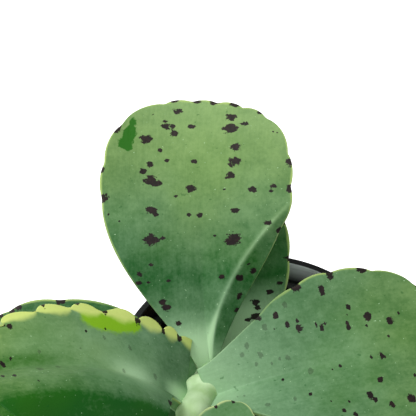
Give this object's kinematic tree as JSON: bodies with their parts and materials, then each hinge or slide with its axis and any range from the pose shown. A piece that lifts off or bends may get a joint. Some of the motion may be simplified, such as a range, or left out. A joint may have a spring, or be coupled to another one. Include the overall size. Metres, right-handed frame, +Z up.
{
  "type": "potted kalanchoe marmorata",
  "caption": "Succulent with opposite pairs of fleshy spotted round leaves on a leaning stem, growing in potting mix in a round black nursery pot.",
  "frame": {"origin": "middle of the pot's flat underside", "axes": "+Z up out of the pot, +Y to the tall rear leaf, +X to the broad right-hand leaf"},
  "size_m": [0.1676, 0.1787, 0.1645],
  "materials": {
    "pot_plastic": "satin black moulded plastic",
    "potting_mix": "rough damp dark brown potting mix",
    "stem_skin": "smooth pale green skin with a whitish bloom",
    "leaf_skin": "waxy grey-green skin with purple-black blotches",
    "lower_leaf_skin": "waxy saturated green skin with a thinner bloom and dark blotches",
    "young_leaf_skin": "pale grey-green skin with a whitish bloom",
    "feed_grain": "smooth mustard yellow coating"
  },
  "bodies": {
    "root": {"pot": "pot_plastic", "soil": "potting_mix", "stem": "stem_skin", "leaf_right": "leaf_skin", "leaf_left": "leaf_skin", "leaf_back": "leaf_skin", "leaf_front": "leaf_skin", "leaf_left_lower": "lower_leaf_skin", "leaf_right_lower": "lower_leaf_skin", "leaf_back_lower": "lower_leaf_skin", "leaf_front_lower": "lower_leaf_skin", "young_leaf_back": "young_leaf_skin", "young_leaf_front": "young_leaf_skin", "tip_leaf_left": "young_leaf_skin", "tip_leaf_right": "young_leaf_skin", "feed_grain_1": "feed_grain", "feed_grain_2": "feed_grain", "feed_grain_3": "feed_grain", "feed_grain_4": "feed_grain", "feed_grain_5": "feed_grain", "feed_grain_6": "feed_grain", "feed_grain_7": "feed_grain"}
  },
  "joints": []
}
